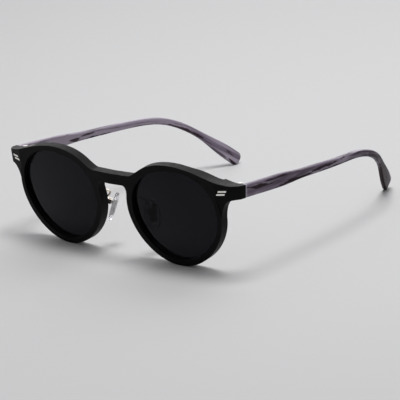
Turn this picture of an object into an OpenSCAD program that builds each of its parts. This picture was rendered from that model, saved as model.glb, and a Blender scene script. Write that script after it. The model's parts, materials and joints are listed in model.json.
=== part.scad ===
// Round sunglasses: a matte front with two oval-round rims, dark lenses, five-barrel
// hinges, slim marbled temples and soft nose pads on wire arms.
// Frame: the wearer looks along -Y, +X is the wearer's left, +Z is up, and the glasses
// stand open on the bottoms of the rims and the tips of the temples.

/* [Rims] */
// Half the distance between the middles of the two lenses
lens_half_gap = 35; // [34:0.5:37]
// Mean outer radius of a rim
rim_radius = 25.5; // [25:0.25:26.5]
// How far a rim is drawn out sideways
rim_oval = 1.4; // [0.8:0.1:1.8]
// How far a rim is drawn out downwards
rim_drop = 0.7; // [0.3:0.1:0.9]
// Mean width of a rim's face
rim_face = 2.7; // [2.5:0.1:3]
// How far the lens lies outwards of the rim's middle
lens_shift = 0.4; // [0:0.1:0.5]
// How far the lens reaches up and outwards
lens_flare = 0.35; // [0:0.05:0.4]
// Thickness of the front
front_thick = 4.4; // [4.2:0.1:5]
// Forward lean of the standing front, in degrees
front_lean = 5.6; // [4:0.2:7]
// Backward turn of each half of the front, in degrees
front_wrap = 2.8; // [2:0.2:4]

/* [Lenses] */
// Thickness of a lens
lens_thick = 1.8; // [1.6:0.1:2]
// Radius of the lens's outer face
lens_curve = 265; // [200:5:400]
// Depth of the groove round the lens opening
groove_depth = 0.7; // [0.5:0.1:0.8]
// Width of the groove
groove_width = 1.3; // [1.1:0.1:1.4]
// Distance from the front face to the middle of the groove
groove_level = 2.7; // [2.4:0.1:2.8]
// Clearance round the lens in its groove
lens_clearance = 0.04; // [0.02:0.01:0.08]

/* [Bridge] */
// Height of the bridge's top above the lens middles
bridge_top = 15.6; // [15:0.2:16.4]
// Height of the bridge itself
bridge_height = 5.1; // [4.5:0.1:6]

/* [End pieces] */
// How far the end piece's corner stands out past the rim's mean radius
end_reach = 7.5; // [7:0.25:8.5]
// Height of the end piece's middle above the lens middles
end_level = 13.85; // [13.6:0.05:14.2]
// Height of an end piece at its front
end_height = 6.7; // [6.4:0.1:7]
// Rise of the end piece's lower side towards the temple, in degrees
end_taper = 5; // [3:0.5:6]
// Height of the hinge above the lens middles
hinge_level = 14.2; // [14:0.05:14.4]
// How far the end piece's front face runs back
end_sweep = 1.8; // [1:0.1:2.2]
// Distance from the front to the hinge axis
hinge_back = 9.9; // [9.6:0.1:11]
// Length of a front accent bar
bar_length = 4.1; // [3.8:0.1:4.6]
// Height of a front accent bar
bar_height = 0.85; // [0.6:0.05:1]
// Depth of a front accent bar in the front
bar_sunk = 0.8; // [0.6:0.1:1.2]
// How far an accent bar stands proud
bar_proud = 0.25; // [0.1:0.05:0.4]

/* [Hinges] */
// Radius of the hinge barrel
barrel_r = 1.4; // [1.2:0.05:1.5]
// Height of the hinge barrel
barrel_height = 5; // [4.6:0.1:5.2]
// Gap between two knuckles
knuckle_gap = 0.05; // [0.03:0.01:0.08]
// Radius of the hinge screw
screw_r = 0.7; // [0.6:0.05:0.75]
// Running clearance round the hinge screw
screw_clearance = 0.04; // [0.02:0.01:0.08]
// Thickness of a hinge leaf
leaf_thick = 0.9; // [0.8:0.05:1]
// Length of the leaf on the front
front_leaf = 6; // [5.8:0.1:6.2]
// Length of the leaf on the temple
temple_leaf = 9.6; // [8.5:0.1:11]
// Height of the leaf on the temple
temple_leaf_height = 3.9; // [3.5:0.1:4]
// How deep the temple leaf is let in
leaf_sunk = 0.65; // [0.5:0.05:0.7]
// Radius of a leaf rivet
rivet_r = 0.42; // [0.35:0.01:0.45]
// Gap between the end piece and the open temple
mitre_gap = 0.08; // [0.05:0.01:0.15]

/* [Temples] */
// Length of a temple along its middle
temple_length = 148; // [140:1:154]
// Height of a temple at the hinge
temple_height = 6; // [5.8:0.05:6.1]
// Height of a temple at its slimmest
temple_slim = 3.4; // [3:0.1:3.7]
// Height of the flared tip
tip_height = 7.1; // [6:0.1:7.5]
// Thickness of a temple
temple_thick = 2.5; // [2.4:0.1:2.9]
// Rounding of a temple's long edges
temple_round = 0.65; // [0.4:0.05:0.8]
// Slope of the temples down towards the tips, in degrees
temple_slope = 4; // [3:0.25:5]
// Downward turn over the ear, in degrees
ear_turn = 40; // [36:1:44]
// Inward turn of the temple's middle, in degrees
side_turn = 7.7; // [6:0.1:9]
// Further inward turn of the tip, in degrees
tip_turn = 14; // [10:1:17]
// Radius of the core wire
core_r = 0.5; // [0.4:0.05:0.55]

/* [Nose pads] */
// Height of a nose pad
pad_length = 14; // [13:0.5:15]
// Width of a nose pad
pad_width = 7.6; // [7:0.2:8.2]
// Thickness of a nose pad
pad_thick = 2.6; // [2.4:0.1:2.8]
// Radius of the pad arm's wire
arm_r = 0.5; // [0.4:0.05:0.6]
// Radius of the pad screw
pad_screw_r = 0.4; // [0.35:0.05:0.45]
// Running clearance round the pad screw
pad_clearance = 0.04; // [0.02:0.01:0.06]

/* [Hidden] */

$fn = 48;
cut = 0.5;
fit = 0.02;

function step_up(a, b, x) = let (t = min(1, max(0, (x - a)/(b - a)))) t*t*(3 - 2*t);
function bend(p, q, r, n) = [for (i = [0:n]) let (t = i/n)
    (1 - t)*(1 - t)*p + 2*t*(1 - t)*q + t*t*r];
function curve(p, q, r, s, n) = [for (i = [0:n]) let (t = i/n, u = 1 - t)
    u*u*u*p + 3*t*u*u*q + 3*t*t*u*r + t*t*t*s];
function turn_x(a, p) = [p.x, p.y*cos(a) - p.z*sin(a), p.y*sin(a) + p.z*cos(a)];
function turn_y(a, p) = [p.x*cos(a) + p.z*sin(a), p.y, p.z*cos(a) - p.x*sin(a)];
function turn_z(a, p) = [p.x*cos(a) - p.y*sin(a), p.x*sin(a) + p.y*cos(a), p.z];

// Rim and lens outlines, as radii about the lens middle: 0 degrees points outwards
function rim_edge(a) = rim_radius + rim_oval*cos(2*a) + rim_drop*sin(3*a);
function lens_edge(a) = rim_edge(a) - rim_face + lens_shift*cos(a) + lens_flare*sin(2*a);
function on_rim(a) = rim_edge(a)*[cos(a), sin(a)];
function lens_outline(grow) = [for (a = [0:3:357]) (lens_edge(a) + grow)*[cos(a), sin(a)]];
rim_outline = [for (a = [0:3:357]) on_rim(a)];

// Outline points of the brow, the end piece and the bridge, from the lens middle
corner_x = rim_radius + end_reach;
sweep_x = corner_x - 7.8;
block_x = corner_x - 7.8;
end_top = end_level + end_height/2;
end_low = end_level - end_height/2;
brow_join = 72;
brow = curve(on_rim(brow_join), [0.48*corner_x, end_top + 4.8], [corner_x - 8.3, end_top + 0.3],
    [corner_x + 0.4, end_top], 12);
cheek_join = 3;
cheek = bend([corner_x + 0.4, end_low], [corner_x - 4.7, end_low - 0.2], on_rim(cheek_join), 8);
side_out = 8;
bridge_low = bridge_top - bridge_height;
nose_join = 166;
middle_x = -lens_half_gap - 1;
bridge_rise = bend([-rim_radius + 1.6, bridge_top], [-rim_radius + 3.1, bridge_top + 0.1], on_rim(133), 4);
bridge_fall = bend(on_rim(nose_join), [-rim_radius - 0.6, bridge_low - 0.1],
    [-rim_radius - 3, bridge_low], 6);

// The front leans and each half turns back about its own lens middle
half_place_x = lens_half_gap;
function from_half(p) = let (q = turn_z(front_wrap, p)) [q.x + half_place_x, q.y, q.z];
function leaned(p) = turn_x(front_lean, from_half(p));
rim_bottom = min([for (p = rim_outline, y = [0, front_thick]) leaned([p.x, y, p.y]).z]);
front_reach = min([for (p = rim_outline) leaned([p.x, 0, p.y]).y]);

// Hinge frame: its Z is the hinge axis and its Y runs back along the open temple
end_middle = leaned([corner_x, 0, hinge_level]);
side_x = end_middle.x + 3.1;
mitre = barrel_r + 0.2;
barrel_in = barrel_r + 0.5;
hinge_x = side_x - temple_thick - barrel_in;
hinge_z = end_middle.z + (end_middle.y - hinge_back)*tan(temple_slope);
function to_hinge(p) = turn_x(temple_slope, leaned(p) - [hinge_x, hinge_back, hinge_z]);
function from_hinge(p) = turn_x(-temple_slope, p) + [hinge_x, hinge_back, hinge_z];

// The temple's middle line in the hinge frame: turned down over the ear and inwards
temple_start = [barrel_in + temple_thick/2, mitre_gap - mitre, 0];
ear_from = 0.455*temple_length + 9;
ear_bend = 54;
side_turn_from = 11;
side_turn_to = 30;
ear_turn_before = 23;
ear_turn_after = 7;
tip_turn_after = 15;
tip_turn_end = 42;
function turn_down(s) = ear_turn*step_up(ear_from, ear_from + ear_bend, s);
function turn_in(s) = 1.8*step_up(side_turn_from, side_turn_to, s)
    + (side_turn - 1.8)*step_up(ear_from - ear_turn_before, ear_from + ear_turn_after, s)
    + tip_turn*step_up(ear_from + tip_turn_after, ear_from + tip_turn_end, s);
function along(s) = let (p = turn_down(s), q = turn_in(s)) [-sin(q), cos(q)*cos(p), -cos(q)*sin(p)];
function across(s) = let (p = turn_down(s), q = turn_in(s)) [cos(q), sin(q)*cos(p), -sin(q)*sin(p)];
function upright(s) = let (p = turn_down(s)) [0, sin(p), cos(p)];
line_step = 2;
temple_line = [for (i = 0, p = temple_start; i <= temple_length/line_step + 1;
    i = i + 1, p = p + line_step*along((i - 0.5)*line_step)) p];
function on_line(s) = let (i = floor(s/line_step), t = s/line_step - i)
    (1 - t)*temple_line[i] + t*temple_line[i + 1];

// Half height and half thickness of the temple at a length along it
hinge_block_end = 24;
waist_more = 0.7;
function half_high(s) = (temple_height
    - (temple_height - temple_slim - waist_more)*step_up(hinge_block_end, hinge_block_end + 20, s)
    - waist_more*step_up(hinge_block_end + 20, ear_from + 8, s)
    + (tip_height - temple_slim)*step_up(temple_length - 30, temple_length - 7, s))/2;
thinner_from = 60;
thinner_to = 30;
function half_thick(s) = (temple_thick
    - 0.3*step_up(temple_length - thinner_from, temple_length - thinner_to, s))/2;
function rounded(w, h, r) = [for (q = [0:3], k = [0:3]) let (a = 90*q + 30*k,
    sx = (q == 0 || q == 3) ? 1 : -1, sz = q < 2 ? 1 : -1)
    [sx*(w - r) + r*cos(a), sz*(h - r) + r*sin(a)]];
function ring(s, outline) = let (m = on_line(s), u = across(s), v = upright(s))
    [for (p = outline) m + p.x*u + p.y*v];
tip_round = 0.42*tip_height;
body_end = temple_length - tip_round;
body_rings = [for (s = [0:2.4:body_end - 1]) ring(s, rounded(half_thick(s), half_high(s), temple_round))];
tip_rings = [for (a = [0:12:84]) let (s = body_end + tip_round*sin(a), w = half_thick(s)*sqrt(cos(a)),
    h = half_high(s)*pow(cos(a), 0.7), r = min(temple_round, 0.95*h, 0.95*w)) ring(s, rounded(w, h, r))];
temple_rings = concat(body_rings, tip_rings);
core_from = temple_leaf + 1.5;
core_to = temple_length - 22;
function core_ring(s, r) = ring(s, [for (a = [0:45:315]) r*[cos(a), sin(a)]]);
function core_rings(from, to, r) = [for (i = [0:48]) core_ring(from + (to - from)*i/48, r)];
temple_reach = max([for (r = temple_rings, p = r) from_hinge(p).y]);
temple_bottom = min([for (r = temple_rings, p = r) from_hinge(p).z]);

// The middle of the whole length is at Y = 0 and the lowest point at Z = 0
front_y = -(front_reach + temple_reach)/2;
front_z = -min(rim_bottom, temple_bottom);

module front_place() translate([0, front_y, front_z]) rotate([front_lean, 0, 0]) children();
module half_place() translate([half_place_x, 0, 0]) rotate([0, 0, front_wrap]) children();
module hinge_place() translate([hinge_x, front_y + hinge_back, front_z + hinge_z])
    rotate([-temple_slope, 0, 0]) children();
module on_right() mirror([1, 0, 0]) children();

// A flat outline given across and up, made solid from one depth to another
module plate(from, to) translate([0, to, 0]) rotate([90, 0, 0]) linear_extrude(to - from) children();

// A closed skin over a list of rings with the same number of points
module skin(rings) {
    n = len(rings[0]);
    m = len(rings);
    faces = concat([[for (j = [n - 1:-1:0]) j]], [[for (j = [0:n - 1]) (m - 1)*n + j]],
        [for (i = [0:m - 2], j = [0:n - 1]) [i*n + j, i*n + (j + 1)%n, (i + 1)*n + (j + 1)%n]],
        [for (i = [0:m - 2], j = [0:n - 1]) [i*n + j, (i + 1)*n + (j + 1)%n, (i + 1)*n + j]]);
    polyhedron(points = [for (r = rings, p = r) p], faces = faces);
}

// Front

module half_plate() {
    plate(0, front_thick) polygon(rim_outline);
    plate(0, front_thick) polygon(concat(bridge_rise, [0.93*on_rim(140), 0.93*on_rim(155)], bridge_fall,
        [[middle_x, bridge_low], [middle_x, bridge_top]]));
}

// The brow: going outwards, its upper side turns to the slope of the temple and its lower side to the taper
function side_turn_of(p) = tan(front_lean + temple_slope - (p.y < hinge_level ? end_taper : 0));
function brow_at(p, y) = [p.x, y, p.y - side_turn_of(p)*step_up(rim_radius - 11, corner_x - 8, p.x)*y];
brow_end = [[corner_x + side_out, end_top], [corner_x + side_out, end_low]];
function turned_over(line) = [for (i = [len(line) - 1:-1:0]) line[i]];
brow_outline = turned_over(concat(brow, brow_end, cheek, [0.85*on_rim(cheek_join + 4), 0.85*on_rim(26),
    0.85*on_rim(45), 0.85*on_rim(brow_join - 2)]));
back_outline = turned_over(concat(brow, brow_end, [[block_x, end_low], [0.3*rim_radius, end_low]]));
brow_start = -1.1;
brow_step = 1.9;
module brow_skin(outline) front_place() half_place()
    skin([for (i = [0:7]) let (y = brow_start + i*brow_step) [for (p = outline) brow_at(p, y)]]);

// The end piece: the brow runs back to the temple, thicker towards the hinge
module end_plan(points) front_place() half_place() translate([0, 0, -cut])
    linear_extrude(end_top + 12) polygon(points);
module end_piece() {
    side_x = corner_x + 2.6*(front_thick - end_sweep)/3;
    intersection() {
        brow_skin(brow_outline);
        end_plan([[0, 0], [sweep_x, 0], [corner_x, end_sweep], [side_x, front_thick], [0, front_thick]]);
    }
    intersection() {
        brow_skin(back_outline);
        end_plan([[block_x - 14, front_thick], [side_x, front_thick], [corner_x + 2.6, end_sweep + 3],
            [corner_x + 3.5, hinge_back - mitre], [corner_x + 3.5, 2*hinge_back], [block_x, 2*hinge_back],
            [block_x, hinge_back - 2.2], [block_x - 1.4, hinge_back - 3], [block_x - 4, hinge_back - 3.5]]);
        hinge_place() translate([-2*corner_x, -2*corner_x - mitre, -corner_x])
            cube([3*corner_x, 2*corner_x, 2*corner_x]);
    }
}

module accent_bar(proud, sunk, shift, level, grow) {
    a = atan(end_sweep/(corner_x - sweep_x));
    front_place() half_place() translate([sweep_x, 0, level]) rotate([0, 0, a]) rotate([0, -2.5, 0])
        translate([shift, 0, 0]) plate(-proud, sunk) polygon([
            [-grow, -grow], [bar_length + grow, -grow],
            [bar_length + bar_height/2 + grow, bar_height + grow], [bar_height/2 - grow, bar_height + grow]]);
}
module upper_bar(grow = 0) accent_bar(bar_proud, bar_sunk, 1.5, hinge_level - 0.35, grow);
module lower_bar(grow = 0) accent_bar(bar_proud, bar_sunk, 0.6, hinge_level - 1.75, grow);

module lens_opening() front_place() half_place() {
    plate(-cut, hinge_back) polygon(lens_outline(0));
    plate(groove_level - groove_width/2, groove_level + groove_width/2) polygon(lens_outline(groove_depth));
}

module front_half() difference() {
    union() {
        intersection() {
            front_place() half_place() half_plate();
            translate([0, front_y - lens_half_gap, -1])
                cube([2*lens_half_gap, 2*lens_half_gap, 2*lens_half_gap]);
        }
        end_piece();
    }
    lens_opening();
    upper_bar(fit);
    lower_bar(fit);
    hinge_place() translate([0, 0, -barrel_height/2 - fit])
        translate([-front_leaf - fit, -mitre - leaf_thick - fit, 0])
        cube([front_leaf + 1.2 + 2*fit, leaf_thick + 1, barrel_height + 2*fit]);
    hinge_place() front_rivets(fit);
    arm_foot(fit);
}

module front_frame() color([0.07, 0.07, 0.075]) {
    front_half();
    on_right() front_half();
}

// Lenses

module lens() color([0.1, 0.1, 0.12, 0.9]) front_place() half_place() {
    rim_sag = rim_radius*rim_radius/(2*lens_curve);
    middle = groove_level - lens_thick/2 - rim_sag + 0.2;
    intersection() {
        plate(-2, front_thick) polygon(lens_outline(-lens_clearance));
        translate([0, middle + lens_curve, 0]) difference() {
            sphere(r = lens_curve, $fn = 96);
            sphere(r = lens_curve - lens_thick, $fn = 96);
        }
    }
    difference() {
        plate(groove_level - groove_width/2 + lens_clearance, groove_level + groove_width/2 - lens_clearance)
            polygon(lens_outline(groove_depth - lens_clearance));
        plate(0, front_thick) polygon(lens_outline(-1));
    }
}

// Hinges, drawn in the hinge frame

knuckle_height = (barrel_height - 4*knuckle_gap)/5;
function knuckle_z(k) = k*(knuckle_height + knuckle_gap) - barrel_height/2;
leaf_x = barrel_in - leaf_thick + leaf_sunk;
front_rivet_places = [-2.2, -4.8];
temple_rivet_places = [[3.2, 0.9], [6.9, -0.9]];
rivet_head = 0.25;

module front_rivets(grow = 0) for (x = front_rivet_places)
    translate([x, -mitre, 0]) rotate([90, 0, 0]) {
        cylinder(r = rivet_r + grow, h = leaf_thick + 2.2 + grow);
        if (grow == 0) translate([0, 0, -rivet_head]) cylinder(r = 2*rivet_r, h = rivet_head);
    }

module temple_rivets(grow = 0) for (p = temple_rivet_places)
    translate([leaf_x, p.x, p.y]) rotate([0, 90, 0]) {
        cylinder(r = rivet_r + grow, h = leaf_thick + 1.1 + grow);
        if (grow == 0) translate([0, 0, -rivet_head]) cylinder(r = 2*rivet_r, h = rivet_head);
    }

module screw_bore(grow) translate([0, 0, -barrel_height]) cylinder(r = screw_r + grow, h = 2*barrel_height);

module front_hinge_leaf() color([0.75, 0.74, 0.72]) hinge_place() difference() {
    union() {
        translate([-front_leaf, -mitre - leaf_thick, -barrel_height/2])
            cube([front_leaf + 1.2, leaf_thick, barrel_height]);
        for (k = [0, 2, 4]) translate([0, 0, knuckle_z(k)]) {
            cylinder(r = barrel_r, h = knuckle_height);
            translate([-1, -mitre - leaf_thick/2, 0]) cube([2, mitre + leaf_thick/2, knuckle_height]);
        }
    }
    screw_bore(fit);
    front_rivets(fit);
}

module temple_hinge_leaf() color([0.75, 0.74, 0.72]) hinge_place() difference() {
    union() {
        translate([leaf_x, -1, -temple_leaf_height/2]) cube([leaf_thick, temple_leaf, temple_leaf_height]);
        for (k = [1, 3]) translate([0, 0, knuckle_z(k)]) {
            cylinder(r = barrel_r, h = knuckle_height);
            translate([0, -0.2, 0]) cube([leaf_x + leaf_thick/2, barrel_r + 0.2, knuckle_height]);
        }
    }
    screw_bore(screw_clearance);
    temple_rivets(fit);
}

module front_leaf_rivets() color([0.72, 0.71, 0.7]) hinge_place() front_rivets();
module temple_leaf_rivets() color([0.72, 0.71, 0.7]) hinge_place() temple_rivets();

module hinge_screw() color([0.8, 0.79, 0.77]) hinge_place() difference() {
    union() {
        translate([0, 0, -barrel_height/2]) cylinder(r = screw_r, h = barrel_height);
        translate([0, 0, barrel_height/2]) cylinder(r = 1.7*screw_r, h = 0.5);
    }
    translate([-2*screw_r, -0.15, barrel_height/2 + 0.25]) cube([4*screw_r, 0.3, cut]);
}

// Temples

module temple() color([0.45, 0.42, 0.47]) hinge_place() difference() {
    skin(temple_rings);
    skin(core_rings(core_from - fit, core_to + fit, core_r + fit));
    translate([leaf_x - 1, -1 - fit, -temple_leaf_height/2 - fit])
        cube([leaf_thick + 1 + fit, temple_leaf + 2*fit, temple_leaf_height + 2*fit]);
    temple_rivets(fit);
}

module temple_core_wire() color([0.7, 0.7, 0.7]) hinge_place() skin(core_rings(core_from, core_to, core_r));

// Nose pads: X points away from the nose, Z runs up the pad

pad_middle = [12.2, 10.2, -7];
pad_turn = [-8, -23, -30];
pad_axis_x = pad_thick/2 + 1;
pad_lift = 2;
stem = 1.6;
stem_end = pad_axis_x + 0.8;
box_wall = 0.5;
box_inside = stem/2 + 0.08;
box_back = stem_end + 0.3;
box_high = 2.2;

module pad_place() front_place() translate(pad_middle) rotate(pad_turn) children();
module box_place() pad_place() translate([0, 0, pad_lift]) children();
function from_box(p) = let (q = p + [0, 0, pad_lift])
    turn_z(pad_turn.z, turn_y(pad_turn.y, turn_x(pad_turn.x, q))) + pad_middle;

// Each ring is an oval slice across the pad, narrower at the top
function pad_ring(a) = let (c = cos(a), z = pad_length/2*sin(a), w = pad_width/2*pow(c, 0.75)*(1 - 0.12*sin(a)),
    t = pad_thick/2*pow(c, 0.5)) [for (b = [0:30:330]) [t*cos(b), -w*sin(b), z]];
pad_rings = [for (a = [-84:12:84]) pad_ring(a)];

module pad_insert(grow = 0) translate([-0.3 - grow, -1.8 - grow, -3.6 - grow])
    cube([0.6 + 2*grow, 3.6 + 2*grow, 7.2 + 2*grow]);
module pad_stem(grow = 0) translate([0, -stem/2 - grow, pad_lift - stem/2 - grow])
    cube([stem_end + grow, stem + 2*grow, stem + 2*grow]);

module nose_pad() color([0.85, 0.87, 0.88, 0.6]) pad_place() difference() {
    skin(pad_rings);
    pad_insert(fit);
    pad_stem(fit);
}

module pad_core() color([0.8, 0.78, 0.7]) pad_place() difference() {
    union() {
        pad_insert();
        pad_stem();
    }
    translate([pad_axis_x, 0, pad_lift]) rotate([90, 0, 0])
        cylinder(r = pad_screw_r + pad_clearance, h = 4*stem, center = true);
}

module pad_box() color([0.83, 0.72, 0.48]) box_place() difference() {
    translate([pad_thick/2 + 0.35, -box_inside - box_wall, -box_high/2])
        cube([box_back + box_wall - pad_thick/2 - 0.35, 2*box_inside + 2*box_wall, box_high]);
    translate([0, -box_inside, -box_high]) cube([box_back, 2*box_inside, 2*box_high]);
    translate([pad_axis_x, 0, 0]) rotate([90, 0, 0])
        cylinder(r = pad_screw_r + fit, h = 4*stem, center = true);
}

module pad_screw() color([0.83, 0.72, 0.48]) box_place() translate([pad_axis_x, box_inside + box_wall, 0])
    rotate([90, 0, 0]) difference() {
        union() {
            cylinder(r = pad_screw_r, h = 2*(box_inside + box_wall));
            translate([0, 0, -0.35]) cylinder(r = 1.8*pad_screw_r, h = 0.35);
        }
        translate([-pad_screw_r*2, -0.1, -0.35 - cut]) cube([4*pad_screw_r, 0.2, cut + 0.15]);
    }

// The arm's middle line: out of the rim, back, round behind the lens and onto the pad box
foot_x = lens_half_gap - rim_radius + 0.25;
foot_level = 3.6;
foot_depth = 2;
function rim_back(x) = front_thick*cos(front_wrap) - (lens_half_gap - x)*sin(front_wrap);
foot_y = rim_back(foot_x);
arm_points = [
    [foot_x, foot_y - foot_depth, foot_level], [foot_x, foot_y, foot_level],
    [foot_x, foot_y + 2.2, foot_level - 0.2],
    [foot_x + 0.9, foot_y + 4.6, foot_level - 2], [foot_x + 2.85, foot_y + 5.3, foot_level - 4.2],
    [foot_x + 5.35, foot_y + 4.6, foot_level - 5.8],
    from_box([box_back + box_wall + 2.6, 0, 2.4]), from_box([box_back + box_wall + 2.2, 0, 0.5]),
    from_box([box_back + box_wall + 1, 0, 0]), from_box([box_back + box_wall, 0, 0])];
function arm_curve(t) = let (n = len(arm_points), i = max(0, min(n - 2, floor(t))), f = t - i,
    p1 = arm_points[i], p2 = arm_points[i + 1],
    p0 = i == 0 ? 2*p1 - p2 : arm_points[i - 1], p3 = i == n - 2 ? 2*p2 - p1 : arm_points[i + 2])
    0.5*(2*p1 + f*(p2 - p0) + f*f*(2*p0 - 5*p1 + 4*p2 - p3) + f*f*f*(3*p1 - p0 - 3*p2 + p3));
function unit(v) = v/norm(v);
// Rings keep their turn from one to the next, so that the wire doesn't twist
arm_steps = 5*(len(arm_points) - 1);
arm_rings = [for (i = 0, u = [1, 0, 0]; i <= arm_steps; i = i + 1,
    u = let (d = unit(arm_curve(i/5 + 0.01) - arm_curve(i/5 - 0.01))) unit(u - (u*d)*d))
    let (m = arm_curve(i/5), d = unit(arm_curve(i/5 + 0.01) - arm_curve(i/5 - 0.01)),
        a = unit(u - (u*d)*d), b = cross(a, d))
    [for (k = [0:45:315]) m + arm_r*(cos(k)*a + sin(k)*b)]];

// The foot is a true round peg, so that its hole in the rim is a true bore
module arm_foot(grow = 0) front_place() translate([foot_x, foot_y - foot_depth - grow, foot_level])
    rotate([-90, 0, 0]) cylinder(r = arm_r + grow, h = foot_depth + 1 + grow);

module pad_arm() color([0.83, 0.72, 0.48]) {
    arm_foot();
    front_place() skin([for (i = [7:arm_steps]) arm_rings[i]]);
    front_place() translate([foot_x, foot_y + 0.06, foot_level]) rotate([-90, 0, 0])
        cylinder(r = 2*arm_r, h = 0.4);
}

front_frame();
lens();  // lens_left
on_right() lens();  // lens_right
color([0.85, 0.85, 0.86]) upper_bar();  // upper_accent_bar_left
color([0.85, 0.85, 0.86]) on_right() upper_bar();  // upper_accent_bar_right
color([0.85, 0.85, 0.86]) lower_bar();  // lower_accent_bar_left
color([0.85, 0.85, 0.86]) on_right() lower_bar();  // lower_accent_bar_right
front_hinge_leaf();  // front_hinge_leaf_left
on_right() front_hinge_leaf();  // front_hinge_leaf_right
front_leaf_rivets();  // front_leaf_rivets_left
on_right() front_leaf_rivets();  // front_leaf_rivets_right
hinge_screw();  // hinge_screw_left
on_right() hinge_screw();  // hinge_screw_right
temple();  // temple_left
on_right() temple();  // temple_right
temple_hinge_leaf();  // temple_hinge_leaf_left
on_right() temple_hinge_leaf();  // temple_hinge_leaf_right
temple_leaf_rivets();  // temple_leaf_rivets_left
on_right() temple_leaf_rivets();  // temple_leaf_rivets_right
temple_core_wire();  // temple_core_wire_left
on_right() temple_core_wire();  // temple_core_wire_right
pad_arm();  // pad_arm_left
on_right() pad_arm();  // pad_arm_right
pad_box();  // pad_box_left
on_right() pad_box();  // pad_box_right
pad_screw();  // pad_screw_left
on_right() pad_screw();  // pad_screw_right
nose_pad();  // nose_pad_left
on_right() nose_pad();  // nose_pad_right
pad_core();  // pad_core_left
on_right() pad_core();  // pad_core_right
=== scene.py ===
"""Round sunglasses: a matte black front, dark lenses, and temples of marbled sheet."""

import json
import math

import bmesh
import bpy
from mathutils import Matrix, Vector


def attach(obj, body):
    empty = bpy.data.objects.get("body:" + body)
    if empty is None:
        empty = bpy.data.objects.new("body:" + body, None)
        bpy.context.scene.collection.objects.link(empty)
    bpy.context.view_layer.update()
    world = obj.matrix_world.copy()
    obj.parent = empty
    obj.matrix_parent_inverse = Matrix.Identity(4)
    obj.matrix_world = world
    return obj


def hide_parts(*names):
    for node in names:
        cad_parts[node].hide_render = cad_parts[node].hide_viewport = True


MM = 0.001
SIDES = {"left": 1, "right": -1}

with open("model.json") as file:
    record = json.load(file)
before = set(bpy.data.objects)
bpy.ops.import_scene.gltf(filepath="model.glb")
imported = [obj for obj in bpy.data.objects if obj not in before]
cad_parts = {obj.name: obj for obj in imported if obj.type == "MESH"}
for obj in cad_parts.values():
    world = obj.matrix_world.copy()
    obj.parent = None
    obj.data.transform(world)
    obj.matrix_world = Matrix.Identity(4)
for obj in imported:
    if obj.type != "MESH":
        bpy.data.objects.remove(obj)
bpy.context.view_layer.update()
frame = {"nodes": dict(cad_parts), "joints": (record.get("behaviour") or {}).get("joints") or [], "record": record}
nodes = frame["nodes"]
BODY = {node: body for body, members in frame["record"]["behaviour"]["bodies"].items() for node in members}
SLOT = {sub["node"]: sub["material_slot"] for sub in frame["record"]["subparts"]}


# Finishes

class Finish:
    """One material with its shader and a few short ways to add nodes to it."""

    def __init__(self, name, colour, roughness, metallic=0.0):
        self.material = bpy.data.materials.new(name)
        self.material.use_nodes = True
        self.tree = self.material.node_tree
        self.shader = self.tree.nodes["Principled BSDF"]
        self.set("Base Color", (*colour, 1))
        self.set("Roughness", roughness)
        self.set("Metallic", metallic)
        self.place = self.node("ShaderNodeTexCoord").outputs["Object"]

    def node(self, kind, **settings):
        made = self.tree.nodes.new(kind)
        for key, value in settings.items():
            setattr(made, key, value)
        return made

    def join(self, source, target):
        self.tree.links.new(source, target)

    def set(self, socket, value):
        self.shader.inputs[socket].default_value = value

    def feed(self, socket, source):
        self.join(source, self.shader.inputs[socket])

    def spread(self, scale, turn=(0, 0, 0), shift=(0, 0, 0), place=None):
        """Places drawn out by a scale in each direction, to stretch a pattern."""
        mapping = self.node("ShaderNodeMapping")
        mapping.inputs["Location"].default_value = shift
        mapping.inputs["Rotation"].default_value = [math.radians(a) for a in turn]
        mapping.inputs["Scale"].default_value = scale
        self.join(place or self.place, mapping.inputs["Vector"])
        return mapping.outputs["Vector"]

    def noise(self, vector, scale, detail, roughness=0.55, distortion=0.0):
        made = self.node("ShaderNodeTexNoise")
        made.inputs["Scale"].default_value = scale
        made.inputs["Detail"].default_value = detail
        made.inputs["Roughness"].default_value = roughness
        made.inputs["Distortion"].default_value = distortion
        self.join(vector, made.inputs["Vector"])
        return made.outputs["Fac"]

    def span(self, value, low, high, out_low, out_high):
        """Turns the range from low to high into another one, with soft ends."""
        made = self.node("ShaderNodeMapRange", interpolation_type="SMOOTHSTEP")
        ends = {"From Min": low, "From Max": high, "To Min": out_low, "To Max": out_high}
        for key, number in ends.items():
            made.inputs[key].default_value = number
        self.join(value, made.inputs["Value"])
        return made.outputs["Result"]

    def ramp(self, value, *stops):
        made = self.node("ShaderNodeValToRGB")
        ends = made.color_ramp.elements
        while len(ends) < len(stops):
            ends.new(0.5)
        for end, (position, colour) in zip(ends, stops):
            end.position = position
            end.color = (*colour, 1)
        self.join(value, made.inputs["Fac"])
        return made.outputs["Color"]

    def mix(self, share, first, second):
        made = self.node("ShaderNodeMix", data_type="RGBA")
        for socket, value in ((made.inputs[0], share), (made.inputs[6], first), (made.inputs[7], second)):
            if isinstance(value, bpy.types.NodeSocket):
                self.join(value, socket)
            else:
                socket.default_value = (*value, 1)
        return made.outputs[2]

    def maths(self, operation, *values):
        made = self.node("ShaderNodeMath", operation=operation)
        for socket, value in zip(made.inputs, values):
            if isinstance(value, bpy.types.NodeSocket):
                self.join(value, socket)
            else:
                socket.default_value = value
        return made.outputs[0]

    def vectors(self, operation, first, second):
        made = self.node("ShaderNodeVectorMath", operation=operation)
        self.join(first, made.inputs[0])
        made.inputs[1].default_value = second
        return made.outputs[0]

    def bump(self, height, distance, strength):
        made = self.node("ShaderNodeBump")
        made.inputs["Strength"].default_value = strength
        made.inputs["Distance"].default_value = distance
        self.join(height, made.inputs["Height"])
        self.feed("Normal", made.outputs["Normal"])


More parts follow.
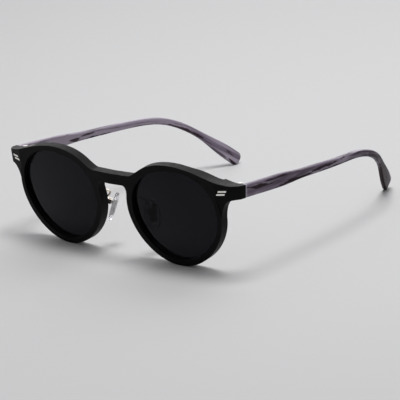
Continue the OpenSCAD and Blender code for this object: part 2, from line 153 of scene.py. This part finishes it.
def matte_black():
    """Moulded plastic with a fine satin grain."""
    f = Finish("matte_black_front", (0.003, 0.003, 0.0033), 0.42)
    f.set("Specular IOR Level", 0.07)
    f.set("Sheen Weight", 0.08)
    f.set("Sheen Roughness", 0.22)
    f.set("Sheen Tint", (0.95, 0.92, 0.95, 1))
    clouds = f.noise(f.place, 180, 3)
    f.feed("Base Color", f.ramp(clouds, (0.3, (0.0022, 0.0022, 0.0025)), (0.7, (0.0042, 0.004, 0.0045))))
    f.feed("Roughness", f.span(f.noise(f.place, 420, 2), 0.3, 0.7, 0.46, 0.54))
    f.bump(f.noise(f.place, 5200, 3), 0.02*MM, 0.35)
    return f


def dark_lens():
    """Tinted lens that lets about a hundredth of the light through."""
    f = Finish("dark_lens", (0.0105, 0.0108, 0.013), 0.01)
    f.set("Specular IOR Level", 0.07)
    f.set("Specular Tint", (0.3, 0.3, 0.35, 1))
    f.set("Transmission Weight", 0.9)
    f.set("IOR", 1.2)
    tint = f.noise(f.place, 30, 1)
    f.feed("Base Color", f.ramp(tint, (0.3, (0.0095, 0.0099, 0.012)), (0.7, (0.0112, 0.0117, 0.014))))
    f.feed("Roughness", f.span(f.noise(f.place, 240, 3), 0.4, 0.7, 0.004, 0.016))
    return f


def bright_metal(name, colour, roughness, brushed, grain):
    """A plated metal with fine brushed lines along one direction."""
    f = Finish(name, colour, roughness, 1.0)
    lines = f.noise(f.spread(brushed), grain, 3)
    f.feed("Roughness", f.span(lines, 0.3, 0.7, 0.7*roughness, 1.3*roughness))
    dull = tuple(0.86*c for c in colour)
    f.feed("Base Color", f.ramp(f.noise(f.place, 500, 2), (0.35, dull), (0.6, colour)))
    f.bump(lines, 0.01*MM, 0.25)
    return f


# The right temple is cut from another part of the sheet, this far along in metres
RIGHT_SHEET = 0.4
SHEET_SHIFT = {"left": 0, "right": RIGHT_SHEET}

# Most rows are streaks of the sheet; one row of the left temple is painted shade along its top edge.
# Streaks placed on each temple's flat sheet, in mm: where a streak starts and ends along the temple,
# its height above the middle line at both ends, its half width, and how strongly it covers the sheet
STREAKS_AND_SHADE = {
    "left": (
        (-2, 17, 1.3, 0.2, 0.8, 0.95),
        # Painted shade: this row is no streak but the dark line of shade along the rounded top edge.
        (13, 29, 1.9, 2.2, 0.5, 0.85),
        (24, 47, -2.0, -0.9, 0.85, 1.0),
        (45, 71, -0.6, 0.8, 0.7, 0.95),
        (56, 88, -1.5, -1.4, 0.55, 0.9),
        (84, 104, 0.9, 0.7, 0.5, 0.7),
        (98, 142, -0.3, 0.5, 1.5, 0.75),
        (112, 156, 0.6, -0.6, 3.6, 0.75),
        (116, 153, -1.6, -3.4, 1.9, 0.95),
    ),
    "right": (
        (33, 41, -0.7, -1.4, 1.0, 0.9),
        (41, 49, 0.5, 0.3, 0.6, 0.85),
        (38, 60, -1.8, -1.4, 0.5, 0.9),
        (72, 92, -1.6, -1.5, 0.5, 0.8),
        (98, 126, -1.2, -1.1, 0.7, 0.9),
        (122, 141, -2.4, -3.0, 0.5, 0.7),
        (138, 143, 0.8, 0.0, 0.8, 0.55),
        (141, 152, -3.2, -3.5, 1.0, 0.95),
    ),
}
# How fast a streak fades through the sheet, as a share of how fast it fades sideways
THROUGH_SHEET = 0.15
STREAK_AND_SHADE_COLOUR = (0.020, 0.010, 0.013)
VEIN_COLOUR = (0.03, 0.022, 0.03)
CLOUD_STOPS = ((0.34, (0.068, 0.05, 0.07)), (0.48, (0.172, 0.14, 0.187)), (0.64, (0.37, 0.32, 0.392)))
# The clouds of the right temple are this much paler
RIGHT_PALER = 0.12
# The front end has a painted highlight along its edge, standing in for the light its rounded edge catches, which
# fades out between these lengths along the temple
END_HIGHLIGHT_FADE = (0.5*MM, 1.1*MM)
PAINTED_HIGHLIGHT_COLOUR = (0.5, 0.46, 0.53)


def streak_share(f, run, ragged, shift, streak):
    """How much of one streak's colour shows at each place of the sheet."""
    start, end, low, high, half_width, cover = streak
    moved = f.vectors("SUBTRACT", run, ((start + end)/2*MM + shift, 0, (low + high)/2*MM))
    turned = f.node("ShaderNodeVectorRotate", rotation_type="Y_AXIS")
    f.join(moved, turned.inputs["Vector"])
    turned.inputs["Angle"].default_value = math.atan2(high - low, end - start)
    across = half_width*MM
    sized = f.vectors("MULTIPLY", turned.outputs[0], (2/((end - start)*MM), THROUGH_SHEET/across, 1/across))
    far = f.node("ShaderNodeVectorMath", operation="LENGTH")
    f.join(sized, far.inputs[0])
    rough_edge = f.maths("ADD", far.outputs["Value"], f.span(ragged, 0.3, 0.7, -0.45, 0.45))
    return f.span(rough_edge, 0.8, 1.15, cover, 0)


def marbled_sheet():
    """Cellulose sheet: pale lilac grey with plum clouds and near black streaks, all drawn out lengthwise, with a
    painted highlight at the front end and a painted shade line along part of the left temple's top edge.
    """
    f = Finish("marbled_temple", (0.30, 0.27, 0.33), 0.3)
    f.set("Specular IOR Level", 0.05)
    run = f.node("ShaderNodeAttribute", attribute_name="sheet_place").outputs["Vector"]
    cloud = f.noise(f.spread((0.10, 0.9, 0.8), (0, 3, 0), place=run), 230, 4, 0.6, 0.8)
    along = f.node("ShaderNodeSeparateXYZ")
    f.join(run, along.inputs["Vector"])
    right = f.maths("GREATER_THAN", along.outputs["X"], RIGHT_SHEET/2)
    from_front = f.maths("SUBTRACT", along.outputs["X"], f.maths("MULTIPLY", right, RIGHT_SHEET))
    paler = f.maths("MULTIPLY", right, RIGHT_PALER)
    colour = f.ramp(f.maths("ADD", cloud, paler), *CLOUD_STOPS)
    vein = f.noise(f.spread((0.05, 0.8, 0.7), (0, 2, 0), (3.1, 1.7, 0.4), run), 360, 3, 0.5, 0.9)
    colour = f.mix(f.span(vein, 0.60, 0.68, 0, 0.8), colour, VEIN_COLOUR)
    ragged = f.noise(f.spread((0.16, 1, 1), place=run), 900, 3, 0.6)
    for side, streaks in STREAKS_AND_SHADE.items():
        for streak in streaks:
            share = streak_share(f, run, ragged, SHEET_SHIFT[side], streak)
            colour = f.mix(share, colour, STREAK_AND_SHADE_COLOUR)
    # Painted highlight: a pale strip at the temple's front end, where its rounded edge catches the light.
    painted_end_highlight = f.span(from_front, *END_HIGHLIGHT_FADE, 0.6, 0)
    f.feed("Base Color", f.mix(painted_end_highlight, colour, PAINTED_HIGHLIGHT_COLOUR))
    f.feed("Roughness", f.span(f.noise(f.place, 300, 3), 0.3, 0.7, 0.26, 0.38))
    f.bump(f.noise(f.place, 900, 2), 0.02*MM, 0.15)
    return f


def clear_silicone():
    """Soft clear pad material with a slight haze."""
    f = Finish("clear_silicone", (0.93, 0.93, 0.96), 0.08)
    f.set("Transmission Weight", 0.9)
    f.set("IOR", 1.41)
    haze = f.noise(f.place, 700, 3)
    f.feed("Roughness", f.span(haze, 0.3, 0.7, 0.03, 0.08))
    f.feed("Base Color", f.ramp(haze, (0.3, (0.90, 0.90, 0.94)), (0.7, (0.98, 0.98, 1.0))))
    f.bump(haze, 0.02*MM, 0.2)
    return f


FINISHES = {
    "matte_black_front": matte_black(),
    "dark_lens": dark_lens(),
    "silver_trim": bright_metal("silver_trim", (0.93, 0.91, 0.87), 0.24, (0.1, 1, 1), 9000),
    "hinge_metal": bright_metal("hinge_metal", (0.6, 0.59, 0.57), 0.36, (1, 0.1, 1), 6000),
    "marbled_temple": marbled_sheet(),
    "core_metal": bright_metal("core_metal", (0.62, 0.61, 0.60), 0.35, (1, 0.1, 1), 4000),
    "pad_metal": bright_metal("pad_metal", (0.95, 0.86, 0.74), 0.13, (1, 1, 0.2), 7000),
    "clear_silicone": clear_silicone(),
}


# Working in mesh code. Angles are in degrees.

# Only edges that turn by more than this are rounded
SHARP_TURN = 50
# A broad face stays flat beside one that turns by this much and is this many times smaller
GENTLE_TURN = 8
BROAD_TIMES = 4


def finished(bm, name, node):
    """Makes a piece from a bmesh that stands for a node, with the node's finish and on the node's body."""
    mesh = bpy.data.meshes.new(name)
    bm.to_mesh(mesh)
    bm.free()
    piece = bpy.data.objects.new(name, mesh)
    bpy.context.scene.collection.objects.link(piece)
    mesh.materials.append(FINISHES[SLOT[node]].material)
    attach(piece, BODY[node])
    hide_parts(node)


def solid_copy(node, weld, flat):
    """The node's solid as one closed mesh, with points nearer than weld joined and its flat faces whole."""
    bm = bmesh.new()
    bm.from_mesh(nodes[node].data)
    bmesh.ops.remove_doubles(bm, verts=bm.verts, dist=weld)
    bmesh.ops.dissolve_degenerate(bm, edges=bm.edges, dist=weld)
    bmesh.ops.dissolve_limit(bm, angle_limit=math.radians(flat), verts=bm.verts, edges=bm.edges,
                             delimit=set())
    bmesh.ops.recalc_face_normals(bm, faces=bm.faces)
    bm.normal_update()
    return bm


def smooth_sides(bm, crease):
    """Smooth shading, sharp at more than the crease angle and where a broad face runs into a narrow one."""
    bm.normal_update()
    for face in bm.faces:
        face.smooth = True
    for edge in bm.edges:
        if edge.is_manifold:
            turn = math.degrees(edge.calc_face_angle(0))
            small, large = sorted(face.calc_area() for face in edge.link_faces)
            edge.smooth = turn < crease and (turn < GENTLE_TURN or large < BROAD_TIMES*small)


def ease_edges(bm, width, segments, keep=None):
    """Rounds the sharp edges, or those of them that keep says."""
    bm.normal_update()
    sharp = [e for e in bm.edges if e.is_manifold and e.calc_face_angle(0) > math.radians(SHARP_TURN)
             and (keep is None or keep(e))]
    bmesh.ops.bevel(bm, geom=sharp, offset=width, offset_type="OFFSET", affect="EDGES", segments=segments,
                    profile=0.5, clamp_overlap=True, material=-1)


def drawn_rings(places):
    """A closed skin made by drawing a first ring of points along: each row of places is one ring."""
    bm = bmesh.new()
    ring = bmesh.ops.create_circle(bm, segments=len(places[0]), radius=1)["verts"]
    first = edges = bm.edges[:]
    for number, row in enumerate(places):
        if number:
            made = bmesh.ops.extrude_edge_only(bm, edges=edges)["geom"]
            fresh = {g for g in made if isinstance(g, bmesh.types.BMVert)}
            edges = [g for g in made if isinstance(g, bmesh.types.BMEdge) and set(g.verts) <= fresh]
            ring = [next(e.other_vert(v) for e in v.link_edges if e.other_vert(v) in fresh) for v in ring]
        for v, place in zip(ring, row):
            v.co = place
    bmesh.ops.contextual_create(bm, geom=first)
    bmesh.ops.contextual_create(bm, geom=edges)
    bmesh.ops.recalc_face_normals(bm, faces=bm.faces)
    return bm


def other_side(bm, side):
    """Turns a left piece into a right one."""
    if side == "right":
        bmesh.ops.scale(bm, vec=(-1, 1, 1), verts=bm.verts)
        bmesh.ops.reverse_faces(bm, faces=bm.faces)
    return bm


# The front. Its place and sizes are those of its solid, in mm and degrees.

FRONT_Y = -70.6358
FRONT_Z = 24.7579
LENS_MIDDLE = 35
FRONT_LEAN = 5.6
FRONT_WRAP = 2.8
FRONT_THICK = 4.4
RIM_RADIUS = 25.5
RIM_OVAL = 1.4
RIM_DROP = 0.7
RIM_FACE = 2.7
LENS_SHIFT = 0.4
LENS_FLARE = 0.35

# The outer edges of the front and back faces and of the end pieces are rounded by FRONT_EASE. They lie
# further from a lens opening than OPENING_CLEAR, and an end piece starts at END_PIECE_FROM out from the
# lens middle.
FRONT_EASE = 0.4
OPENING_CLEAR = 0.9
END_PIECE_FROM = 25
TOUCHING = 0.05

FRONT_PLACE = (Matrix.Scale(MM, 4) @ Matrix.Translation((0, FRONT_Y, FRONT_Z))
               @ Matrix.Rotation(math.radians(FRONT_LEAN), 4, "X"))
HALF_PLACE = (FRONT_PLACE @ Matrix.Translation((LENS_MIDDLE, 0, 0))
              @ Matrix.Rotation(math.radians(FRONT_WRAP), 4, "Z"))


def lens_edge(a):
    """Radius of a lens opening about its middle, at an angle up from the outward direction."""
    return (RIM_RADIUS + RIM_OVAL*math.cos(2*a) + RIM_DROP*math.sin(3*a) - RIM_FACE
            + LENS_SHIFT*math.cos(a) + LENS_FLARE*math.sin(2*a))


def from_lens(point):
    """A point of either half in mm from the middle of the left lens, and its reach past the lens edge."""
    seen = HALF_PLACE.inverted() @ Vector((abs(point.x), point.y, point.z))
    past = math.hypot(seen.x, seen.z) - lens_edge(math.atan2(seen.z, seen.x))
    return seen, past


def moulded_front():
    """The front with a tumbled outer edge. The edges of the lens openings and of the cuts stay crisp."""
    bm = solid_copy("front_frame", 0.02*MM, 1.0)

    def outer(edge):
        seen = [from_lens(v.co) for v in edge.verts]
        if any(past < OPENING_CLEAR for _, past in seen):
            return False
        return all(p.y < TOUCHING or abs(p.y - FRONT_THICK) < TOUCHING or p.x > END_PIECE_FROM
                   for p, _ in seen)

    ease_edges(bm, FRONT_EASE*MM, 2, outer)
    smooth_sides(bm, 38)
    return bm


# Lenses. Sizes are in mm.

LENS_THICK = 1.8
LENS_CURVE = 265
LENS_PLAY = 0.04
LENS_LIFT = 0.2
GROOVE_DEPTH = 0.7
GROOVE_WIDTH = 1.3
GROOVE_LEVEL = 2.7
AROUND_LENS = 144

# Rings on both faces, as shares of the lens's reach
FACE_RINGS = (0.1, 0.25, 0.4, 0.55, 0.7, 0.85, 0.96)
BACK_RINGS = (0.97, 0.85, 0.7, 0.5, 0.3, 0.1)
# The eased front edge, as how far each ring lies in from the opening and back from the front face
FACE_EASE = ((0.3, 0), (LENS_PLAY + 0.08, 0.06), (LENS_PLAY, 0.2))
BACK_EASE = 0.05


def tinted_lens(side):
    """A curved lens, drawn from the middle of its front face round its edge to the middle of its back."""
    middle = GROOVE_LEVEL - LENS_THICK/2 - RIM_RADIUS**2/(2*LENS_CURVE) + LENS_LIFT

    def front_face(r):
        return middle + LENS_CURVE - math.sqrt(LENS_CURVE**2 - r*r)

    def back_face(r):
        return middle + LENS_CURVE - math.sqrt((LENS_CURVE - LENS_THICK)**2 - r*r)

    low = GROOVE_LEVEL - GROOVE_WIDTH/2 + LENS_PLAY
    high = GROOVE_LEVEL + GROOVE_WIDTH/2 - LENS_PLAY
    flange = GROOVE_DEPTH - LENS_PLAY
    rings = [(share, 0, front_face) for share in FACE_RINGS]
    rings += [(1, -inwards, lambda r, back=back: front_face(r) + back) for inwards, back in FACE_EASE]
    rings += [(1, -LENS_PLAY, lambda r: low), (1, flange, lambda r: low), (1, flange, lambda r: high),
              (1, -LENS_PLAY, lambda r: high), (1, -LENS_PLAY, lambda r: back_face(r) - BACK_EASE)]
    rings += [(share, 0, back_face) for share in BACK_RINGS]
    turns = [2*math.pi*k/AROUND_LENS for k in range(AROUND_LENS)]
    rows = []
    for share, grow, level in rings:
        reach = [share*(lens_edge(a) + grow) for a in turns]
        rows.append([(r*math.cos(a), level(r), r*math.sin(a)) for r, a in zip(reach, turns)])
    bm = drawn_rings(rows)
    bmesh.ops.transform(bm, matrix=HALF_PLACE, verts=bm.verts)
    smooth_sides(bm, 15)
    return other_side(bm, side)


# Temples. Sizes are those of the solids, in mm and degrees.

HINGE = Vector(next(j for j in frame["joints"] if j["name"] == "temple_left_fold")["pos_m"])
TEMPLE_LENGTH = 148
TEMPLE_SLOPE = 4
TEMPLE_THICK = 2.5
BARREL_RADIUS = 1.4
BARREL_GAP = 0.5
MITRE_AHEAD = 0.2
MITRE_GAP = 0.08
# Where the middle line starts, from the hinge
TEMPLE_START = Vector((BARREL_RADIUS + BARREL_GAP + TEMPLE_THICK/2,
                       MITRE_GAP - BARREL_RADIUS - MITRE_AHEAD, 0))
LINE_STEP = 2

# The bend over the ear and the three inward turns: how far each turns, and where it starts and ends
EAR_FROM = 0.455*TEMPLE_LENGTH + 9
EAR_BEND = (40, EAR_FROM, EAR_FROM + 54)
SIDE_TURN = 7.7
FIRST_TURN = 1.8
INWARD_TURNS = (
    (FIRST_TURN, 11, 30),
    (SIDE_TURN - FIRST_TURN, EAR_FROM - 23, EAR_FROM + 7),
    (14, EAR_FROM + 15, EAR_FROM + 42),
)

# Rounding of the edges at the temple's front end that lie this near to its face and to its outer side
END_EASE = 0.55
END_DEPTH = 0.45
OUTER_DEPTH = 0.7


def step_up(low, high, x):
    t = min(1, max(0, (x - low)/(high - low)))
    return t*t*(3 - 2*t)


def turned_by(run, *turns):
    """How far the temple has turned at a length along it, over all of the turns given."""
    return math.radians(sum(turn*step_up(start, end, run) for turn, start, end in turns))


def temple_directions(run):
    """Along, across and up the left temple at a length along it, with its hinge upright."""
    down = turned_by(run, EAR_BEND)
    inwards = turned_by(run, *INWARD_TURNS)
    along = Vector((-math.sin(inwards), math.cos(inwards)*math.cos(down), -math.cos(inwards)*math.sin(down)))
    across = Vector((math.cos(inwards), math.sin(inwards)*math.cos(down), -math.sin(inwards)*math.sin(down)))
    upright = Vector((0, math.sin(down), math.cos(down)))
    return along, across, upright


def temple_line():
    """Lengths along the left temple's middle line, each with its place and its three directions."""
    tilt = Matrix.Rotation(math.radians(-TEMPLE_SLOPE), 3, "X")
    middle = TEMPLE_START
    places = []
    for number in range(int(TEMPLE_LENGTH/LINE_STEP) + 2):
        if number:
            middle = middle + LINE_STEP*temple_directions((number - 0.5)*LINE_STEP)[0]
        run = number*LINE_STEP
        directions = [tilt @ direction for direction in temple_directions(run)]
        places.append((run*MM, HINGE + tilt @ middle*MM, *directions))
    return places


def marbled_temple(side):
    """The temple, with each point's place in the flat sheet that it was cut from kept for the marbling."""
    bm = solid_copy("temple_" + side, 0.004*MM, 0.05)
    front_end = min(v.co.y for v in bm.verts) + END_DEPTH*MM
    outside = max(abs(v.co.x) for v in bm.verts) - OUTER_DEPTH*MM
    ease_edges(bm, END_EASE*MM, 3,
               lambda edge: all(v.co.y < front_end and abs(v.co.x) > outside for v in edge.verts))
    smooth_sides(bm, 42)
    sheet = bm.verts.layers.float_vector.new("sheet_place")
    places = temple_line()
    shift = SHEET_SHIFT[side]
    for v in bm.verts:
        point = Vector((v.co.x*SIDES[side], v.co.y, v.co.z))
        nearest = min(places, key=lambda place: (point - place[1]).length_squared)
        run, middle, along, across, upright = nearest
        reach = point - middle
        v[sheet] = (run + reach.dot(along) + shift, reach.dot(across), reach.dot(upright))
    return bm


# Nose pads. Sizes are in mm and degrees.

PAD_LENGTH = 14
PAD_WIDTH = 7.6
PAD_THICK = 2.6
PAD_MIDDLE = (12.2, 10.2, -7)
PAD_TURN = (-8, -23, -30)
# The pad's rings run to PAD_END on a half circle. Its ends are fuller with a small PAD_FULLNESS, and
# PAD_TAPER narrows it towards the top.
PAD_END = 87
PAD_FULLNESS = 0.75
PAD_TAPER = 0.12
ALONG_PAD = 32
AROUND_PAD = 40

PAD_PLACE = FRONT_PLACE @ Matrix.Translation(PAD_MIDDLE)
for turn, axis in zip(reversed(PAD_TURN), "ZYX"):
    PAD_PLACE = PAD_PLACE @ Matrix.Rotation(math.radians(turn), 4, axis)


def soft_pad(side):
    """A soft pad drawn from end to end, moulded round its metal core."""
    turns = [2*math.pi*k/AROUND_PAD for k in range(AROUND_PAD)]
    rows = []
    for number in range(ALONG_PAD + 1):
        a = math.radians(-PAD_END + 2*PAD_END*number/ALONG_PAD)
        wide = PAD_WIDTH/2*math.cos(a)**PAD_FULLNESS*(1 - PAD_TAPER*math.sin(a))
        thick = PAD_THICK/2*math.sqrt(math.cos(a))
        rows.append([(thick*math.cos(b), -wide*math.sin(b), PAD_LENGTH/2*math.sin(a)) for b in turns])
    bm = drawn_rings(rows)
    bmesh.ops.transform(bm, matrix=PAD_PLACE, verts=bm.verts)
    smooth_sides(bm, 60)
    return other_side(bm, side)


# All pieces

# Small parts of each side: the node's name, how far its edges are rounded in mm, the crease angle in
# degrees, and the piece's name
SMALL_PARTS = (
    ("upper_accent_bar_", 0.1, 30, "upper_bar_"),
    ("lower_accent_bar_", 0.1, 30, "lower_bar_"),
    ("pad_arm_", 0, 60, "wire_arm_"),
    ("pad_box_", 0.08, 30, "arm_box_"),
    ("pad_screw_", 0.05, 30, "box_screw_"),
    ("hinge_screw_", 0.08, 30, "slotted_hinge_screw_"),
    ("front_hinge_leaf_", 0.08, 30, "front_leaf_"),
    ("temple_hinge_leaf_", 0.08, 30, "temple_leaf_"),
)


def small_part(node, ease, crease):
    bm = solid_copy(node, 0.004*MM, 0.5)
    if ease:
        ease_edges(bm, ease*MM, 2)
    smooth_sides(bm, crease)
    return bm


finished(moulded_front(), "moulded_front", "front_frame")
for side in SIDES:
    finished(tinted_lens(side), "tinted_lens_" + side, "lens_" + side)
    finished(marbled_temple(side), "marbled_temple_" + side, "temple_" + side)
    finished(soft_pad(side), "soft_pad_" + side, "nose_pad_" + side)
    for node, ease, crease, name in SMALL_PARTS:
        finished(small_part(node + side, ease, crease), name + side, node + side)

# The core wires, rivets and pad cores are shown as their solids
for name, node in nodes.items():
    if not node.hide_render:
        node.data.materials.clear()
        node.data.materials.append(FINISHES[SLOT[name]].material)


# Stage, light and camera. Places and sizes are in metres, power in watts.

FLOOR_SIZE = 6
FLOOR_COLOUR = (0.55, 0.55, 0.555, 1)
LAMP_AIM = Vector((0, 0, 0.02))
SURROUND_COLOUR = (0.97, 0.97, 1, 1)
# The surround's strength as a light, and where it is seen straight, mirrored or through a lens
SURROUND_LIGHT = 0.22
SURROUND_SEEN = 0.5

# The camera as it was fitted to points of the photograph: its place, its aim, its roll in degrees, and its
# lens and sensor in mm
EYE = Vector((0.674638, -0.765095, 0.317382))
AIM = Vector((0.009439, -0.023992, 0.014996))
ROLL = -4.2971
LENS_LENGTH = 199.5
SENSOR_WIDTH = 36


def plain_floor():
    bm = bmesh.new()
    bmesh.ops.create_grid(bm, x_segments=1, y_segments=1, size=FLOOR_SIZE)
    mesh = bpy.data.meshes.new("floor")
    bm.to_mesh(mesh)
    bm.free()
    floor = bpy.data.objects.new("floor", mesh)
    bpy.context.scene.collection.objects.link(floor)
    cover = bpy.data.materials.new("plain_floor")
    cover.use_nodes = True
    shader = cover.node_tree.nodes["Principled BSDF"]
    shader.inputs["Base Color"].default_value = FLOOR_COLOUR
    shader.inputs["Roughness"].default_value = 0.85
    shader.inputs["Specular IOR Level"].default_value = 0.2
    mesh.materials.append(cover)


def softbox(name, power, size, place):
    light = bpy.data.lights.new(name, "AREA")
    light.energy = power
    light.size = size
    lamp = bpy.data.objects.new(name, light)
    lamp.location = place
    lamp.rotation_euler = (LAMP_AIM - Vector(place)).to_track_quat("-Z", "Y").to_euler()
    bpy.context.scene.collection.objects.link(lamp)


def studio_surround():
    world = bpy.data.worlds.new("studio")
    world.use_nodes = True
    bpy.context.scene.world = world
    tree = world.node_tree
    back = tree.nodes["Background"]
    back.inputs["Color"].default_value = SURROUND_COLOUR
    path = tree.nodes.new("ShaderNodeLightPath")
    seen = path.outputs["Is Camera Ray"]
    for kind in ("Is Glossy Ray", "Is Transmission Ray"):
        more = tree.nodes.new("ShaderNodeMath")
        more.operation = "MAXIMUM"
        tree.links.new(seen, more.inputs[0])
        tree.links.new(path.outputs[kind], more.inputs[1])
        seen = more.outputs[0]
    level = tree.nodes.new("ShaderNodeMapRange")
    level.inputs["To Min"].default_value = SURROUND_LIGHT
    level.inputs["To Max"].default_value = SURROUND_SEEN
    tree.links.new(seen, level.inputs["Value"])
    tree.links.new(level.outputs["Result"], back.inputs["Strength"])


def photo_camera():
    lens = bpy.data.cameras.new("camera")
    lens.lens = LENS_LENGTH
    lens.sensor_width = SENSOR_WIDTH
    lens.clip_start = 0.01
    camera = bpy.data.objects.new("camera", lens)
    back = (EYE - AIM).normalized()
    level = Vector((0, 0, 1)).cross(back).normalized()
    upright = Matrix((level, back.cross(level), back)).transposed()
    rolled = upright @ Matrix.Rotation(math.radians(ROLL), 3, "Z")
    camera.matrix_world = Matrix.Translation(EYE) @ rolled.to_4x4()
    bpy.context.scene.collection.objects.link(camera)
    bpy.context.scene.camera = camera


plain_floor()
softbox("overhead_softbox", 7.6, 0.42, (0.05, 0.05, 1.0))
softbox("back_softbox", 16.0, 1.8, (-0.5, 1.2, 0.85))
studio_surround()
photo_camera()
bpy.context.scene.view_settings.view_transform = "Standard"
